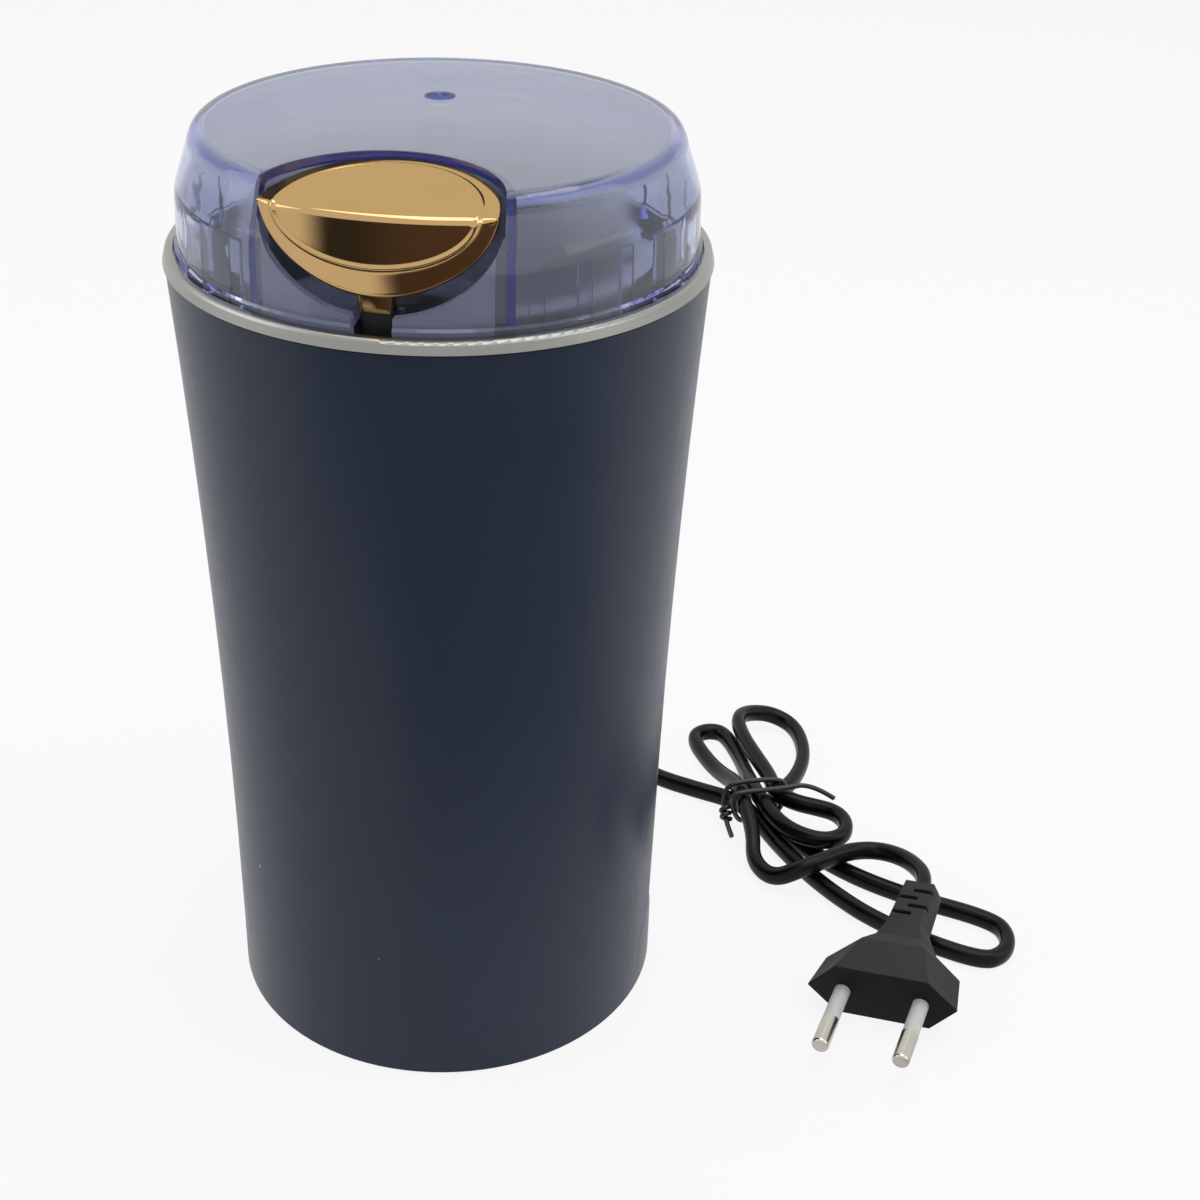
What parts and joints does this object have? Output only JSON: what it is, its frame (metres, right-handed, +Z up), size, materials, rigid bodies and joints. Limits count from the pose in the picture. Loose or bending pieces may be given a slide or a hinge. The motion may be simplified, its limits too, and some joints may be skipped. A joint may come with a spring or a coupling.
{
  "type": "electric blade grinder",
  "caption": "Upright electric blade grinder: tapered body, clear lift-off lid with a push button, steel bowl, universal motor, and a tied mains cord with a two-pin plug.",
  "frame": {"origin": "centre of the base, on the surface that the feet stand on", "axes": "+Z up along the motor shaft, the push button faces -Y, the cord leaves the back at +Y"},
  "size_m": [0.1909, 0.1642, 0.201],
  "materials": {
    "body_paint": "satin dark blue lacquer",
    "ring_metal": "satin silver",
    "clear_lid": "clear, tinted blue",
    "gold_button": "metallised gold, mirror bright",
    "dark_plastic": "moulded, fine grain",
    "black_rubber": "matt",
    "polished_steel": "polished",
    "plain_steel": "zinc plated",
    "bronze": "sintered or pressed",
    "core_steel": "laminated",
    "copper": "enamelled copper",
    "carbon": "pressed carbon",
    "brown_wire": "insulated wire",
    "black_wire": "insulated wire",
    "blue_wire": "insulated wire",
    "black_cord": "gloss flexible sheath",
    "tie_wire": "plastic covered wire",
    "plug_plastic": "moulded",
    "pin_sleeve": "moulded",
    "pin_metal": "nickel plated"
  },
  "bodies": {
    "housing": {"body_shell": "body_paint", "trim_ring": "ring_metal", "base_cover": "dark_plastic", "base_screws": "plain_steel", "rubber_feet": "black_rubber", "inner_frame": "dark_plastic", "bowl_gasket": "black_rubber", "grinding_bowl": "polished_steel", "bowl_bush": "bronze", "shaft_seal": "black_rubber", "upper_bracket": "plain_steel", "lower_bracket": "plain_steel", "upper_bearing": "bronze", "lower_bearing": "bronze", "motor_dampers": "black_rubber", "mount_screws": "plain_steel", "mount_nuts": "plain_steel", "motor_bolts": "plain_steel", "motor_nuts": "plain_steel", "stator_core": "core_steel", "field_coils": "copper", "brush_holders": "dark_plastic", "carbon_brushes": "carbon", "brush_springs": "plain_steel", "brush_caps": "bronze", "pin_spring": "plain_steel", "snap_switch": "dark_plastic", "switch_terminals": "bronze", "switch_screws": "plain_steel", "live_wire": "brown_wire", "switched_wire": "black_wire", "neutral_wire": "blue_wire", "strain_relief": "black_rubber", "cord_lead": "black_cord", "cord_hank": "black_cord", "cord_tail": "black_cord", "cord_tie": "tie_wire", "plug_body": "plug_plastic", "pin_sleeves": "pin_sleeve", "plug_pins": "pin_metal"},
    "lid": {"lid": "clear_lid"},
    "button": {"push_button": "gold_button"},
    "switch_pin": {"switch_pin": "dark_plastic", "pin_clip": "plain_steel"},
    "switch_lever": {"switch_lever": "plain_steel"},
    "rotor": {"motor_shaft": "plain_steel", "blade": "polished_steel", "blade_nut": "polished_steel", "armature_core": "core_steel", "armature_winding": "copper", "commutator": "copper", "cooling_fan": "dark_plastic"}
  },
  "joints": [
    {"name": "lid_lift", "type": "slide", "parent": "housing", "child": "lid", "axis": [0, 0, 1], "range_m": [0, 0.06]},
    {"name": "button_press", "type": "slide", "parent": "lid", "child": "button", "axis": [0, 0, -1], "range_m": [0, 0.003], "stiffness_N_per_m": 300, "springref_m": -0.004},
    {"name": "pin_press", "type": "slide", "parent": "housing", "child": "switch_pin", "axis": [0, 0, -1], "range_m": [0, 0.003], "deforming": ["pin_spring"]},
    {"name": "lever_turn", "type": "hinge", "parent": "housing", "child": "switch_lever", "pos_m": [-0.009, -0.0456, 0.15532], "axis": [0, 1, 0], "range_deg": [0, 16.3]},
    {"name": "rotor_spin", "type": "hinge", "parent": "housing", "child": "rotor", "pos_m": [0, 0, 0.08], "axis": [0, 0, 1], "continuous": true}
  ],
  "couplings": [
    {"joint": "pin_press", "follows": "button_press", "ratio": 1},
    {"joint": "lever_turn", "follows": "button_press", "rad_per_m": 94.248}
  ]
}
